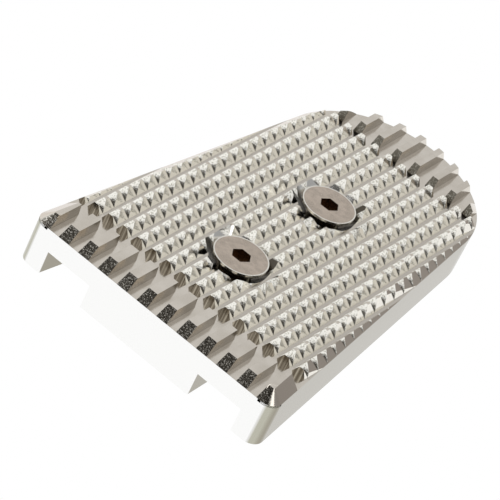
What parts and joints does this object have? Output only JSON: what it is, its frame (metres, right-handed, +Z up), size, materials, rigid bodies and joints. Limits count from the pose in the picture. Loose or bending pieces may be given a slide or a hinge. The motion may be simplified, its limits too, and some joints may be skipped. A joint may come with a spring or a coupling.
{
  "type": "brake pedal extension",
  "caption": "Milled aluminium brake pedal extension for a motorbike: a knurled, tapered tread plate with a clamp plate under it, held by countersunk socket screws.",
  "frame": {"origin": "centre of the bounding box's underside, where the legs of the tread plate end", "axes": "+X across the plate to the right, +Y along it from the straight front edge to the round rear end, +Z up out of the tread"},
  "size_m": [0.0484, 0.084, 0.0098],
  "materials": {
    "plate_alloy": "satin",
    "clamp_alloy": "satin",
    "screw_steel": "gloss"
  },
  "bodies": {
    "root": {"tread_plate": "plate_alloy", "clamp_plate": "clamp_alloy", "front_screw": "screw_steel", "rear_screw": "screw_steel"}
  },
  "joints": []
}
